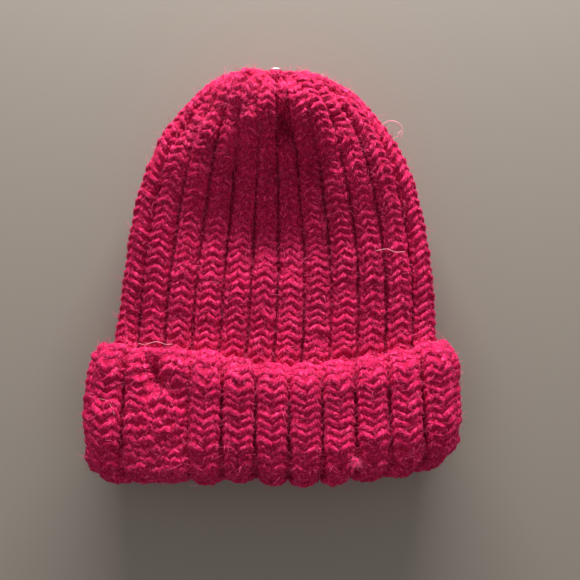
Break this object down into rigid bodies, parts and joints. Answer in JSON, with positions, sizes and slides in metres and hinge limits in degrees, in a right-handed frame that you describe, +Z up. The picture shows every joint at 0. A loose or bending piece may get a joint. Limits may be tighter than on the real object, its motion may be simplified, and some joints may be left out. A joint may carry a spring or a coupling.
{
  "type": "knit beanie",
  "caption": "Chunky rib-knit beanie lying flat, with a turned-up cuff that lets down, a gathered crown and a snap socket for a detachable pom-pom.",
  "frame": {"origin": "middle of the hat's footprint on the plane it rests on", "axes": "+Z up from the resting plane through the flattened hat, +Y from the folded mouth to the crown, +X to the right when seen from above with the crown away from the viewer"},
  "size_m": [0.215, 0.242, 0.0485],
  "materials": {
    "body_knit": "fuzzy crimson wool rib knit",
    "cuff_knit": "fuzzy crimson wool rib knit, wrong side out",
    "yarn": "crimson wool yarn",
    "snap_metal": "plated, slightly dulled",
    "spring_wire": "drawn wire"
  },
  "bodies": {
    "hat": {"knit_body": "body_knit", "body_seam_yarn": "yarn", "crown_gather_yarn": "yarn", "snap_socket": "snap_metal", "snap_post": "snap_metal", "snap_spring": "spring_wire"},
    "cuff": {"turn_up_cuff": "cuff_knit", "cuff_seam_yarn": "yarn", "yarn_end": "yarn"}
  },
  "joints": [
    {"name": "cuff_let_down", "type": "slide", "parent": "hat", "child": "cuff", "axis": [0, -1, 0], "range_m": [0, 0.06]}
  ]
}
